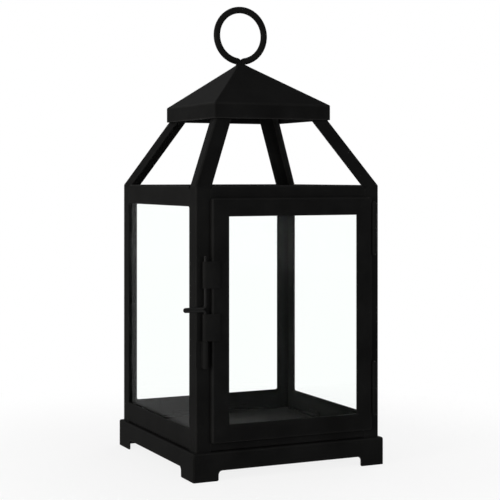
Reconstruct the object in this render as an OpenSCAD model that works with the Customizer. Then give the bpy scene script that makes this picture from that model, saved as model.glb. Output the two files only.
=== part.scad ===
// Square candle lantern in folded black steel: a bracket-foot base, four corner angles that run up
// and bend inward under a pyramid cap, rails, four panes, a hinged door with a sliding wire bolt,
// and a wire ring on top. Millimetres, +Z up, door to the front at -Y.
// The origin is the centre of the footprint, on the surface that the lantern stands on.

/* [Frame] */
// Outside width across the corner angles
frame_w = 130; // [115:1:180]
// Height of the bend in the corner angles, also the top of the top rails
bend_z = 182.5; // [165:0.5:240]
// Width of each leg of the corner angles
leg_w = 10.3; // [8:0.1:13]
// Thickness of the steel sheet
sheet_t = 1; // [0.8:0.1:1.3]
// Inner radius of every fold in the sheet
fold_r = 0.3; // [0.2:0.1:0.8]
// Height of the top rails
top_rail_h = 11.8; // [9:0.1:18]
// Height of the bottom rails
bottom_rail_h = 12; // [9:0.1:18]
// Width of the inward flange of the rails
flange_w = 6; // [5:0.5:9]
// Gap under the bottom rails, between the corner angles
rail_gap = 0.3; // [0.2:0.1:3]
// Radius of the weld fillets in the corners of the frame
weld_r = 1.2; // [0.5:0.1:2.5]
// Gap between the top rails' flanges and the corner angles
flange_gap = 0.5; // [0.2:0.1:1.5]

/* [Base] */
// How far the base stands out past the corner angles
base_ledge = 2.4; // [1.5:0.1:8]
// Height of the base
base_h = 17.8; // [12:0.2:30]
// Height of the arches in the front and the back
arch_front = 6.3; // [3:0.1:9]
// Height of the arches in the sides
arch_side = 6.5; // [3:0.1:9]
// Length of a foot along the front and the back
foot_front = 17; // [10:0.5:30]
// Length of a foot along the sides
foot_side = 20.5; // [10:0.5:30]
// Radius of the arches' upper corners
arch_r = 2.5; // [0.5:0.1:2.8]

/* [Roof] */
// Outside width of the cap
cap_w = 83.6; // [70:0.2:100]
// Rise of the roof, from the bend in the corner angles to the cap's lower edge
roof_rise = 43; // [30:0.5:70]
// Height of the cap's upright skirt
skirt_h = 9.8; // [6:0.1:16]
// Rise of the pyramid, from the top of the skirt to its tip
cap_rise = 30; // [20:0.1:45]
// How far off centre the hand-made cap's tip sits, towards the right
tip_off = -4.6; // [-8:0.2:8]

/* [Ring] */
// Outside diameter of the ring
ring_d = 39.4; // [30:0.2:60]
// Diameter of the ring's wire
ring_wire = 4.5; // [3:0.1:6]
// Diameter of the shank that holds the ring in the tip of the cap
shank_d = 6.4; // [5:0.2:8]
// Height of the shank that shows between the cap and the ring
neck_h = 0.6; // [0:0.1:3]
// How far the shank reaches down from the underside of the ring
shank_h = 7; // [5:0.5:12]
// Depth of the notch in the ring's inner bottom, where the wire's two ends meet
notch_h = 1.2; // [0.4:0.1:1.8]

/* [Panes] */
// Thickness of the glass
glass_t = 2; // [1.5:0.1:2.4]
// Gap round the edges of the glass
glass_gap = 0.5; // [0.3:0.1:1]
// Length of the clips that hold the fixed panes
clip_l = 16; // [8:0.5:24]
// Distance of those clips from the middle of each side
clip_x = 20; // [14:0.5:36]
// How far those clips stand over the edge of the glass
clip_h = 3.2; // [2:0.1:5]
// Thickness of all clips
clip_t = 0.8; // [0.5:0.1:1]

/* [Door] */
// Width of the strips round the door
strip_w = 11.4; // [9:0.2:14]
// Depth of the door, from its face to its back
door_t = 3.2; // [3:0.1:5]
// Radius of the door's outer corners
door_corner_r = 1.5; // [0.5:0.1:2.5]
// Gap between the closed door and the frame behind it
door_gap = 0.2; // [0.2:0.1:0.6]
// How far the door laps over the left corner angle
door_free_lap = 0.4; // [0.2:0.1:3]
// How far the door laps over the right corner angle
door_hinge_lap = 3.5; // [1:0.1:5]
// How far the door laps over the top rail
door_top_lap = 4.5; // [2:0.1:8]
// How far the door laps over the bottom rail
door_low_lap = 7.3; // [2:0.1:12]
// How far the door's glass laps behind the strips
door_glass_lap = 4; // [2.5:0.1:5]
// Length of the clips that hold the door's glass
door_clip_l = 8; // [5:0.5:15]
// Width of those clips' feet on the strips
door_clip_foot = 3; // [2:0.1:4]
// How far those clips reach from the edge of the glass
door_clip_lap = 1.9; // [1.5:0.1:5]

/* [Hinges and latch] */
// Diameter of the hinge pins
pin_d = 1.6; // [1.2:0.1:2]
// Diameter of the bolt's wire
bolt_d = 1.5; // [1.2:0.1:2]
// Clearance round the pins and the bolt where they turn or slide
run_gap = 0.08; // [0.02:0.01:0.1]
// Thickness of the rolled strips
roll_t = 0.8; // [0.5:0.1:1]
// Height of each rolled strip
roll_h = 16.5; // [10:0.5:18]
// Gap between two rolled strips that stand end to end
roll_gap = 0.3; // [0.2:0.1:0.6]
// How far the latch's rolled strips lap onto the door's face
roll_lap = 5; // [3:0.2:9]
// Length of the step from a rolled strip back to the corner angle
roll_step = 1.8; // [1:0.1:2.5]
// How far a hinge pin stands out of its strips at each end
pin_proud = 0.8; // [0.3:0.1:2]
// Distance of the hinge pins from the door's edge
hinge_off = 2; // [1.9:0.1:3]
// Distance of the hinges' flaps from the back of the door's edge
hinge_in = 0.1; // [0:0.1:0.6]
// Distance of the upper hinge's top below the door's top
hinge_top_in = 4.1; // [2:0.1:20]
// Distance of the lower hinge's bottom above the door's bottom
hinge_low_in = 11; // [2:0.1:20]
// Distance of the bolt from the door's free edge
bolt_off = 4.5; // [4.2:0.1:6]
// Height of the lower barrel's bottom end above the door's bottom edge
latch_up = 64.1; // [45:0.5:75]
// Distance between the two barrels
barrel_space = 15.9; // [14:0.1:20]
// Gap between the two wires of the bolt's handle
hairpin_gap = 0.1; // [0.1:0.1:2]
// Radius of the bolt's bends, at the middle of the wire
bolt_bend_r = 2; // [1.5:0.1:2.5]
// Distance from the bolt to the tip of its handle
handle_l = 14.6; // [10:0.2:20]
// How far the closed bolt reaches into the catch
bolt_in = 8; // [4:0.5:9]
// How far the bolt stands out above the upper barrel
bolt_top = 3.3; // [2:0.1:8]
// Gap left between the closed bolt's bend and the lower barrel
bolt_rest = 0.1; // [0:0.1:1]
// Distance of the catch's strip from the corner angle's outer edge
edge_in = 0.1; // [0:0.1:0.5]

/* [Hidden] */
$fn = 48;
part_eps = 0.5; // overshoot of a cut past the faces that it opens
black = [0.14, 0.14, 0.14];
steel = [0.3, 0.3, 0.31];
clear = [0.8, 0.9, 0.92, 0.35];

half = frame_w / 2;
open_half = half - leg_w;
inner_half = half - sheet_t;
fold_out = fold_r + sheet_t;
base_w = frame_w + 2 * base_ledge;
cap_z = bend_z + roof_rise;
flange_z = base_h + rail_gap;
low_rail_top = flange_z + bottom_rail_h;
top_rail_low = bend_z - top_rail_h;

// The corner angles lean in by this much, so that they enter the cap in its inner corners.
rafter_run = (frame_w - cap_w) / 2 + sheet_t;
rafter_tilt = atan(rafter_run * sqrt(2) / roof_rise);
lean_axis = [-1, 1, 0];
// The fold slopes down across a leg by fold_drop, and by rail_drop at the back of the sheet.
// From there the leg runs in by rail_run up to the bend's height.
fold_drop = leg_w / sqrt(2) * tan(rafter_tilt / 2);
rail_drop = (leg_w + sheet_t) / sqrt(2) * tan(rafter_tilt / 2);
rail_run = rail_drop * tan(rafter_tilt) / sqrt(2);

ring_r = (ring_d - ring_wire) / 2;
tip_z = cap_z + skirt_h + cap_rise;
cap_slope = cap_rise / (cap_w / 2);
// The shank leaves the cap a little below its tip.
ring_low = tip_z - cap_slope * shank_d / 2 + neck_h;
ring_z = ring_low + ring_d / 2;

// The glass keeps clear of the folds' inner corners.
pane_front = inner_half - fold_r;
pane_back = pane_front - glass_t;
pane_z0 = flange_z + sheet_t;
pane_z1 = bend_z - fold_drop - fold_r;

door_x0 = -open_half - door_free_lap;
door_x1 = open_half + door_hinge_lap;
door_z0 = low_rail_top - door_low_lap;
door_z1 = top_rail_low + door_top_lap;
door_y0 = -half - door_gap - door_t;

bore_r = bolt_d / 2 + run_gap;
hinge_bore_r = pin_d / 2 + run_gap;
latch_z = door_z0 + latch_up;
bolt_x = door_x0 - bolt_off;
bolt_y = door_y0 + bore_r;
hinge_x = door_x1 + hinge_off;
hinge_y = door_y0 + hinge_bore_r;
upper_hinge_z = door_z1 - hinge_top_in - 2 * roll_h - roll_gap;
lower_hinge_z = door_z0 + hinge_low_in;
upper_barrel_z = latch_z + roll_h + barrel_space;
catch_z = latch_z - roll_gap - roll_h;
hairpin_r = (bolt_d + hairpin_gap) / 2;
bolt_low = catch_z + roll_h - bolt_in;
handle_low = latch_z + roll_h + bolt_rest + bolt_bend_r;
handle_high = handle_low + 2 * hairpin_r;
bolt_high = upper_barrel_z + roll_h + bolt_top;

// Sides and corners count from the front, or the front left, round to the right and the back.
module on_side(count) rotate([0, 0, 90 * count]) children();

// Section of a folded strip: a leg along x, a leg along y, and the outside of its fold at the origin.
module fold_section(x_leg, y_leg) {
    translate([fold_out, 0]) square([x_leg - fold_out, sheet_t]);
    translate([0, fold_out]) square([sheet_t, y_leg - fold_out]);
    intersection() {
        square(fold_out);
        translate([fold_out, fold_out]) difference() {
            circle(fold_out);
            circle(fold_r);
        }
    }
}

// The corner left by two edges that meet at the origin, filled to a radius, with a root below y = 0.
module fillet(r) difference() {
    translate([0, -part_eps]) square([r, r + part_eps]);
    translate([r, r]) circle(r);
}

// ---- Base: one sheet folded down on four sides, with an arch cut in each side ----

module rounded_square(w, r) {
    translate([-w / 2 + r, -w / 2]) square([w - 2 * r, w]);
    translate([-w / 2, -w / 2 + r]) square([w, w - 2 * r]);
    for (x = [-1, 1], y = [-1, 1]) translate([x * (w / 2 - r), y * (w / 2 - r)]) circle(r);
}

// Outline of the folded-down sheet, seen along it: square below, with the folds' radius on top.
module folded_outline() {
    translate([-base_w / 2, -part_eps]) square([base_w, base_h - fold_out + part_eps]);
    translate([-base_w / 2 + fold_out, 0]) square([base_w - 2 * fold_out, base_h]);
    for (s = [-1, 1]) translate([s * (base_w / 2 - fold_out), base_h - fold_out]) circle(fold_out);
}

// Outline of one arch, from below the feet, with its rounded corners and the feet's rounded toes.
module arch_outline(arch_h, foot) {
    arch_half = base_w / 2 - foot;
    toe_r = min(1, arch_h / 4);
    translate([-arch_half, -part_eps]) square([2 * arch_half, arch_h - arch_r + part_eps]);
    translate([-arch_half + arch_r, 0]) square([2 * (arch_half - arch_r), arch_h]);
    for (s = [-1, 1]) {
        translate([s * (arch_half - arch_r), arch_h - arch_r]) circle(arch_r);
        translate([s * arch_half, 0]) scale([s, 1]) fillet(toe_r);
    }
}

module along_y() rotate([90, 0, 0]) translate([0, 0, -base_w]) linear_extrude(2 * base_w) children();

module base() color(black) difference() {
    intersection() {
        linear_extrude(base_h) rounded_square(base_w, fold_out);
        along_y() folded_outline();
        rotate([0, 0, 90]) along_y() folded_outline();
    }
    translate([0, 0, -part_eps]) linear_extrude(base_h - sheet_t + part_eps)
        rounded_square(base_w - 2 * sheet_t, fold_r);
    along_y() arch_outline(arch_front, foot_front);
    rotate([0, 0, 90]) along_y() arch_outline(arch_side, foot_side);
}

// ---- Corner angles: post and roof leg in one, bent inward at bend_z ----

// A post from the deck up past the bend, and a roof leg from below the bend up past the cap.
module post() translate([0, 0, base_h]) linear_extrude(bend_z + leg_w - base_h)
    fold_section(leg_w, leg_w);

module roof_leg() translate([0, 0, bend_z]) rotate(a = rafter_tilt, v = lean_axis)
    translate([0, 0, -leg_w]) linear_extrude(leg_w + (roof_rise + 3 * leg_w) / cos(rafter_tilt))
    fold_section(leg_w, leg_w);

// A block that reaches up from the mitre between them.
module past_mitre() translate([0, 0, bend_z]) rotate(a = rafter_tilt / 2, v = lean_axis)
    translate([-leg_w, -leg_w, 0]) cube(3 * leg_w);

module below_mitre() translate([0, 0, bend_z]) rotate(a = rafter_tilt / 2, v = lean_axis)
    translate([-leg_w, -leg_w, -3 * leg_w]) cube(3 * leg_w);

// The front left one, with its outer corner on the z axis. What post and leg share keeps it whole.
module corner_angle() {
    difference() {
        post();
        past_mitre();
    }
    difference() {
        roof_leg();
        below_mitre();
    }
    intersection() {
        post();
        roof_leg();
    }
}

// Each roof leg ends against the underside of the cap.
module corner_angle_at(count) color(black) intersection() {
    on_side(count) translate([-half, -half, 0]) corner_angle();
    union() {
        translate([-frame_w, -frame_w, 0]) cube([2 * frame_w, 2 * frame_w, cap_z]);
        cap_inside();
    }
}

// ---- Rails: strips with an inward flange, welded flush between the corner angles ----

// A strip folded at the origin, its flange inward and its face upward.
module rail_strip(height) translate([-open_half, 0, 0]) rotate([90, 0, 90])
    linear_extrude(2 * open_half) fold_section(flange_w, height);

module in_face() translate([0, -inner_half, 0]) rotate([90, 0, 0]) linear_extrude(sheet_t) children();

module bottom_rail() {
    translate([0, -half, flange_z]) rail_strip(bottom_rail_h);
    in_face() for (s = [-1, 1]) translate([s * open_half, low_rail_top]) scale([-s, 1])
        fillet(weld_r);
}

// Its upper corners make room for the corner angles, which lean in there.
module top_rail() {
    flange_half = open_half - rail_run - flange_gap;
    intersection() {
        translate([0, -half, bend_z]) mirror([0, 0, 1]) rail_strip(top_rail_h);
        union() {
            in_face() polygon([
                [-open_half, top_rail_low], [open_half, top_rail_low],
                [open_half, bend_z - rail_drop], [open_half - rail_run, bend_z],
                [-open_half + rail_run, bend_z], [-open_half, bend_z - rail_drop]
            ]);
            translate([-flange_half, -inner_half, top_rail_low])
                cube([2 * flange_half, flange_w, top_rail_h]);
        }
    }
    in_face() for (s = [-1, 1]) translate([s * open_half, top_rail_low]) scale([-s, -1])
        fillet(weld_r);
}

// ---- Roof cap: a pyramid over an upright skirt, with a hole in its tip ----

// A house outline: upright sides from below up to the eaves, then slopes to the tip.
module house(half_w, low, eaves, tip_x, tip) polygon([
    [-half_w, low], [half_w, low], [half_w, eaves], [tip_x, tip], [-half_w, eaves]
]);

module pyramid(half_w, low, eaves, tip) intersection() {
    along_y() house(half_w, low, eaves, tip_off, tip);
    rotate([0, 0, 90]) along_y() house(half_w, low, eaves, 0, tip);
}

// The hollow of the cap: its slopes lie one sheet below the outer ones.
module cap_inside() {
    drop = sheet_t * sqrt(1 + cap_slope * cap_slope);
    pyramid(cap_w / 2 - sheet_t, cap_z - part_eps, cap_z + skirt_h + sheet_t * cap_slope - drop,
        tip_z - drop);
}

module roof_cap() color(black) difference() {
    pyramid(cap_w / 2, cap_z, cap_z + skirt_h, tip_z);
    cap_inside();
    translate([tip_off, 0, cap_z + skirt_h]) cylinder(h = 2 * cap_rise, d = shank_d);
}

// ---- Ring: an eye of round wire, its shank set in the tip of the cap ----

module hanging_ring() color(black) translate([tip_off, 0, 0]) difference() {
    notch_w = 3 * notch_h;
    union() {
        translate([0, 0, ring_z]) rotate([90, 0, 0]) rotate_extrude()
            translate([ring_r, 0]) circle(d = ring_wire);
        translate([0, 0, ring_low - shank_h]) cylinder(h = shank_h + ring_wire / 2, d = shank_d);
    }
    translate([0, -ring_wire, ring_low + ring_wire - notch_h]) rotate([0, -45, 0])
        cube([notch_w, 2 * ring_wire, notch_w]);
}

// ---- Fixed panes and the clips that hold them, each in front of its side before it is turned ----

module pane(half_w) color(clear) translate([-half_w, -pane_front, pane_z0])
    cube([2 * half_w, glass_t, pane_z1 - pane_z0]);

// A clip's foot on a flange, and its tongue up against the glass.
module clip_section(height) {
    square([clip_t, height]);
    square([flange_w - fold_out - glass_t, clip_t]);
}

module pane_clips() color(black) for (x = [-clip_x, clip_x]) {
    translate([x - clip_l / 2, -pane_back, pane_z0]) rotate([90, 0, 90])
        linear_extrude(clip_l) clip_section(clip_h);
    translate([x - clip_l / 2, -pane_back, bend_z - sheet_t]) rotate([90, 0, 90])
        linear_extrude(clip_l) mirror([0, 1]) clip_section(clip_h + bend_z - sheet_t - pane_z1);
}

// ---- Door: four folded strips mitred at the corners, with the glass clipped in behind ----

// A strip that stands on the origin, with its outer edge at x = 0 and both ends mitred.
module strip(length) difference() {
    reach = strip_w + 1;
    linear_extrude(length) fold_section(strip_w, door_t);
    for (end = [0, 1]) translate([0, 0, end * length]) mirror([0, 0, end])
        translate([0, door_t + 1, 0]) rotate([90, 0, 0]) linear_extrude(door_t + 2) {
            polygon([[-1, -1], [reach, -1], [reach, reach]]);
            fillet(door_corner_r);
        }
}

module door_stile_latch() color(black) translate([door_x0, door_y0, door_z0])
    strip(door_z1 - door_z0);

module door_stile_hinge() color(black) translate([door_x1, door_y0, door_z0])
    mirror([1, 0, 0]) strip(door_z1 - door_z0);

module door_rail_top() color(black) translate([door_x0, door_y0, door_z1])
    rotate([0, 90, 0]) strip(door_x1 - door_x0);

module door_rail_bottom() color(black) translate([door_x0, door_y0, door_z0])
    mirror([0, 0, 1]) rotate([0, 90, 0]) strip(door_x1 - door_x0);

glass_in = strip_w - door_glass_lap;

module door_pane() color(clear)
    translate([door_x0 + glass_in, door_y0 + sheet_t, door_z0 + glass_in])
    cube([door_x1 - door_x0 - 2 * glass_in, glass_t, door_z1 - door_z0 - 2 * glass_in]);

// A clip's foot on the back of a stile, its rise beside the glass and its tongue behind it.
module door_clip_section() {
    rise_x = glass_in - glass_gap;
    translate([rise_x - door_clip_foot, sheet_t]) square([door_clip_foot, clip_t]);
    translate([rise_x - clip_t, sheet_t]) square([clip_t, glass_t + clip_t]);
    translate([rise_x - clip_t, sheet_t + glass_t])
        square([clip_t + glass_gap + door_clip_lap, clip_t]);
}

module door_clips() color(black) for (up = [0.25, 0.75]) {
    z = door_z0 + up * (door_z1 - door_z0) - door_clip_l / 2;
    translate([door_x0, door_y0, z]) linear_extrude(door_clip_l) door_clip_section();
    translate([door_x1, door_y0, z]) mirror([1, 0, 0]) linear_extrude(door_clip_l)
        door_clip_section();
}

// ---- Hinges and latch: strips rolled round a wire ----

// Rolled at the origin, with a flap that leaves the front of the roll and runs to the right.
module door_roll(hole_r, reach, flap_t) color(black) linear_extrude(roll_h) difference() {
    union() {
        circle(hole_r + roll_t);
        translate([0, -hole_r - flap_t]) square([reach, flap_t]);
    }
    circle(hole_r);
}

// Rolled at the origin, with a flap that steps back to lie on the corner angle, at y = stand.
module post_roll(hole_r, roll_r, stand, reach) color(black) linear_extrude(roll_h) difference() {
    union() {
        circle(roll_r);
        polygon([
            [0, roll_r], [0, roll_r - roll_t], [roll_step, stand - roll_t], [reach, stand - roll_t],
            [reach, stand], [roll_step, stand]
        ]);
    }
    circle(hole_r);
}

// The barrels' flaps lie on the door's face.
module latch_barrel(z) translate([bolt_x, bolt_y, z])
    door_roll(bore_r, bolt_off + roll_lap, roll_t);

module latch_catch() translate([bolt_x, bolt_y, catch_z]) mirror([1, 0, 0])
    post_roll(bore_r, bore_r + roll_t, -half - bolt_y, bolt_x + half - edge_in);

// This flap runs back along the side of the door's edge, thick enough to keep the roll clear of it.
module hinge_door_leaf(z) translate([hinge_x, hinge_y, z + roll_h + roll_gap])
    rotate([0, 0, 90]) mirror([0, 1, 0])
    door_roll(hinge_bore_r, door_t - hinge_bore_r - hinge_in, hinge_off - hinge_bore_r);

// The pin is fixed in this leaf, so its hole is the pin's own size. Its flap ends at the fold.
module hinge_post_leaf(z) translate([hinge_x, hinge_y, z])
    post_roll(pin_d / 2, hinge_bore_r + roll_t, -half - hinge_y, half - fold_out - hinge_x);

module hinge_pin(z) color(steel) translate([hinge_x, hinge_y, z - pin_proud])
    cylinder(h = 2 * roll_h + roll_gap + 2 * pin_proud, d = pin_d);

// A quarter bend of the bolt's wire, from the end of an upright at the origin over to -x.
module bolt_bend() translate([-bolt_bend_r, 0, 0]) rotate([90, 0, 0])
    rotate_extrude(angle = 90) translate([bolt_bend_r, 0]) circle(d = bolt_d);

// One wire: up through the catch and the lower barrel, out to a hairpin handle, back and on up.
module latch_bolt() color(steel) translate([bolt_x, bolt_y, 0]) {
    run = handle_l - bolt_bend_r - hairpin_r - bolt_d / 2;
    translate([0, 0, bolt_low]) cylinder(h = handle_low - bolt_bend_r - bolt_low, d = bolt_d);
    translate([0, 0, handle_low - bolt_bend_r]) bolt_bend();
    translate([0, 0, handle_high + bolt_bend_r]) mirror([0, 0, 1]) bolt_bend();
    translate([0, 0, handle_high + bolt_bend_r])
        cylinder(h = bolt_high - handle_high - bolt_bend_r, d = bolt_d);
    for (z = [handle_low, handle_high])
        translate([-bolt_bend_r, 0, z]) rotate([0, -90, 0]) cylinder(h = run, d = bolt_d);
    translate([-bolt_bend_r - run, 0, handle_low + hairpin_r]) rotate([90, 0, 0])
        rotate([0, 0, 90]) rotate_extrude(angle = 180)
        translate([hairpin_r, 0]) circle(d = bolt_d);
}

base();
corner_angle_at(0);  // corner_angle_front_left
corner_angle_at(1);  // corner_angle_front_right
corner_angle_at(2);  // corner_angle_back_right
corner_angle_at(3);  // corner_angle_back_left
color(black) on_side(0) bottom_rail();  // bottom_rail_front
color(black) on_side(1) bottom_rail();  // bottom_rail_right
color(black) on_side(2) bottom_rail();  // bottom_rail_back
color(black) on_side(3) bottom_rail();  // bottom_rail_left
color(black) on_side(0) top_rail();  // top_rail_front
color(black) on_side(1) top_rail();  // top_rail_right
color(black) on_side(2) top_rail();  // top_rail_back
color(black) on_side(3) top_rail();  // top_rail_left
roof_cap();
hanging_ring();
on_side(1) pane(pane_front - glass_gap);  // pane_right
on_side(2) pane(pane_back - glass_gap);
on_side(3) pane(pane_front - glass_gap);  // pane_left
on_side(1) pane_clips();  // pane_clips_right
on_side(2) pane_clips();  // pane_clips_back
on_side(3) pane_clips();  // pane_clips_left
door_stile_latch();
door_stile_hinge();
door_rail_top();
door_rail_bottom();
door_pane();
door_clips();
latch_barrel(upper_barrel_z);  // latch_barrel_upper
latch_barrel(latch_z);  // latch_barrel_lower
latch_catch();
latch_bolt();
hinge_door_leaf(upper_hinge_z);  // hinge_upper_door_leaf
hinge_post_leaf(upper_hinge_z);  // hinge_upper_post_leaf
hinge_pin(upper_hinge_z);  // hinge_upper_pin
hinge_door_leaf(lower_hinge_z);  // hinge_lower_door_leaf
hinge_post_leaf(lower_hinge_z);  // hinge_lower_post_leaf
hinge_pin(lower_hinge_z);  // hinge_lower_pin
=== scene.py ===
"""A square candle lantern of folded black steel, built up in the order that it is made: base, corner
angles, rails, roof cap, ring, panes, door, hinges and latch, then the white studio round it."""

import bmesh
import bpy
import numpy as np
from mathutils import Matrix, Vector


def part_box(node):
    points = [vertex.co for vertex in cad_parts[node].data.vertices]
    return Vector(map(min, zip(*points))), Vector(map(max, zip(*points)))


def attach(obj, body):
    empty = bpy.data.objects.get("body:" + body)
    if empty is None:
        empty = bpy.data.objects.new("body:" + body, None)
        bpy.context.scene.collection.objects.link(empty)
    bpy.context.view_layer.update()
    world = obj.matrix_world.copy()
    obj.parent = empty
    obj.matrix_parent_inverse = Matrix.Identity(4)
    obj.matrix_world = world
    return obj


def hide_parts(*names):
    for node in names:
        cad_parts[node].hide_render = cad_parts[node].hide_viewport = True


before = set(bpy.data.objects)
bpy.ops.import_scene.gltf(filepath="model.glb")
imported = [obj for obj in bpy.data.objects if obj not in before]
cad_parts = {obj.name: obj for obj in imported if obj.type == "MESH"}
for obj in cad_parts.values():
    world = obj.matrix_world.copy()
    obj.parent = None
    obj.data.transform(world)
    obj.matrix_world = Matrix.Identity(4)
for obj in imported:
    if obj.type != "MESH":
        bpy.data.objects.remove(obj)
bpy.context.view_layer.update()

# ---------------------------------------------------------------------------------------------
# The photograph's camera
# It stands level, nine tenths of a metre from the lantern, off its left front edge, and its
# picture is shifted on the sensor so that upright lines stay upright.
# ---------------------------------------------------------------------------------------------
camera = bpy.data.objects.new("camera", bpy.data.cameras.new("camera"))
bpy.context.scene.collection.objects.link(camera)
bpy.context.scene.camera = camera
camera.location = (-0.38927, -0.83502, 0.18812)
camera.rotation_euler = np.radians((90, 0, -24.966))
camera.data.sensor_width = 36
camera.data.lens = 97.811
camera.data.shift_x = 0.00795
camera.data.shift_y = -0.14695

# ---------------------------------------------------------------------------------------------
# Base
# One sheet of 1 mm steel folded down on four sides, with an arch cut in each side that leaves
# bracket feet at the corners. Its deck is the lantern's floor. Powder coated, as all the steel is.
# ---------------------------------------------------------------------------------------------
SHEET = 1.0
FOLD_INSIDE = 0.3
FOLD_OUTSIDE = SHEET + FOLD_INSIDE
CUT_EDGE = 0.22
HIGHLIGHT_REACH = 0.9       # how far a cut edge's painted highlight reaches over the face
DECK_PAINTED_LIGHT = 1.0      # the deck is painted lighter all over, as if lit
# painted highlight along the folds
FOLD_HIGHLIGHT = 0.35
DECK_EDGE = 6.0      # how far in from the faces the deck's plain middle begins
PLAIN_BAND = 1.5     # height of the plain side between the fold and the arches
ARCHES = ((6.3, 17.0), (6.5, 20.5))  # height, and length of a foot: front and back, then sides
ARCH_SPREAD = 0.12   # how far the points of an arch spread on their way up, per height
TOE_ROUND, ARCH_ROUND = 1.0, 2.5


def coat_group():
    """Baked powder over a piece's Object coordinates: the paint times a slow cloud from 0.75 to 1.25,
    turned towards the lighter paint by the piece's painted light (painted highlights on edges and
    folds); roughness up and down with the same cloud and down with it; height from a fine noise, the
    orange peel."""
    group = bpy.data.node_groups.new("powder coat", "ShaderNodeTree")
    for name, kind, value in (
        ("Paint", "NodeSocketColor", (0.012, 0.012, 0.012, 1)),
        ("Painted highlight", "NodeSocketColor", (0.03, 0.03, 0.03, 1)),
        ("Dullness", "NodeSocketFloat", 0.45),
        ("Peel per metre", "NodeSocketFloat", 900.0),
    ):
        group.interface.new_socket(name, in_out="INPUT", socket_type=kind).default_value = value
    for name, kind in (("Color", "NodeSocketColor"), ("Roughness", "NodeSocketFloat"),
                       ("Height", "NodeSocketFloat")):
        group.interface.new_socket(name, in_out="OUTPUT", socket_type=kind)
    node, link = group.nodes.new, group.links.new
    given, result = node("NodeGroupInput"), node("NodeGroupOutput")
    place = node("ShaderNodeTexCoord")

    cloud = node("ShaderNodeTexNoise")
    cloud.inputs["Scale"].default_value = 45
    cloud.inputs["Detail"].default_value = 3
    link(place.outputs["Object"], cloud.inputs["Vector"])
    shade = node("ShaderNodeMapRange")
    shade.inputs["From Min"].default_value = 0.3
    shade.inputs["From Max"].default_value = 0.7
    shade.inputs["To Min"].default_value = 0.75
    shade.inputs["To Max"].default_value = 1.25
    link(cloud.outputs["Fac"], shade.inputs["Value"])
    tone = node("ShaderNodeVectorMath")
    tone.operation = "SCALE"
    link(given.outputs["Paint"], tone.inputs[0])
    link(shade.outputs["Result"], tone.inputs["Scale"])

    # painted light: the lighter paint of painted highlights on edges, folds, ends and rolls, and of the
    # deck painted lighter as if lit
    painted_light = node("ShaderNodeAttribute")
    painted_light.attribute_name = "painted_light"
    # how far towards the lighter paint, by the painted light
    worn = node("ShaderNodeMath")
    worn.operation = "MULTIPLY"
    worn.use_clamp = True
    link(painted_light.outputs["Fac"], worn.inputs[0])
    link(shade.outputs["Result"], worn.inputs[1])
    mix = node("ShaderNodeMix")
    mix.data_type = "RGBA"
    link(worn.outputs["Value"], mix.inputs["Factor"])
    link(tone.outputs["Vector"], mix.inputs[6])
    link(given.outputs["Painted highlight"], mix.inputs[7])
    link(mix.outputs[2], result.inputs["Color"])

    dull = node("ShaderNodeMath")
    dull.operation = "MULTIPLY_ADD"
    link(cloud.outputs["Fac"], dull.inputs[0])
    dull.inputs[1].default_value = 0.16
    link(given.outputs["Dullness"], dull.inputs[2])
    smooth = node("ShaderNodeMath")
    smooth.operation = "MULTIPLY_ADD"
    link(worn.outputs["Value"], smooth.inputs[0])
    smooth.inputs[1].default_value = -0.1
    link(dull.outputs["Value"], smooth.inputs[2])
    link(smooth.outputs["Value"], result.inputs["Roughness"])

    peel = node("ShaderNodeTexNoise")
    peel.inputs["Detail"].default_value = 2
    link(place.outputs["Object"], peel.inputs["Vector"])
    link(given.outputs["Peel per metre"], peel.inputs["Scale"])
    link(peel.outputs["Fac"], result.inputs["Height"])
    return group


powder_coat = coat_group()


def coated(name, paint, painted_highlight, dullness, peel, depth, gloss):
    """A steel finish under the powder coat. depth is the height of the orange peel in metres."""
    material = bpy.data.materials.new(name)
    material.use_nodes = True
    tree = material.node_tree
    shader = tree.nodes["Principled BSDF"]
    coat = tree.nodes.new("ShaderNodeGroup")
    coat.node_tree = powder_coat
    coat.inputs["Paint"].default_value = (*paint, 1)
    coat.inputs["Painted highlight"].default_value = (*painted_highlight, 1)
    coat.inputs["Dullness"].default_value = dullness
    coat.inputs["Peel per metre"].default_value = peel
    bump = tree.nodes.new("ShaderNodeBump")
    bump.inputs["Distance"].default_value = depth
    tree.links.new(coat.outputs["Height"], bump.inputs["Height"])
    tree.links.new(coat.outputs["Color"], shader.inputs["Base Color"])
    tree.links.new(coat.outputs["Roughness"], shader.inputs["Roughness"])
    tree.links.new(bump.outputs["Normal"], shader.inputs["Normal"])
    shader.inputs["Specular IOR Level"].default_value = gloss
    return material


# the second colour is the lighter paint of the painted highlights
black_sheet = coated("black powder coat on sheet", (0.0061, 0.0061, 0.0060),
                     (0.014, 0.0138, 0.0134), 0.54, 900, 0.00003, 0.008)


def extent(node):
    """Lowest and highest corner of a CAD node, in millimetres."""
    low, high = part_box(node)
    return np.array(low) * 1000, np.array(high) * 1000


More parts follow.
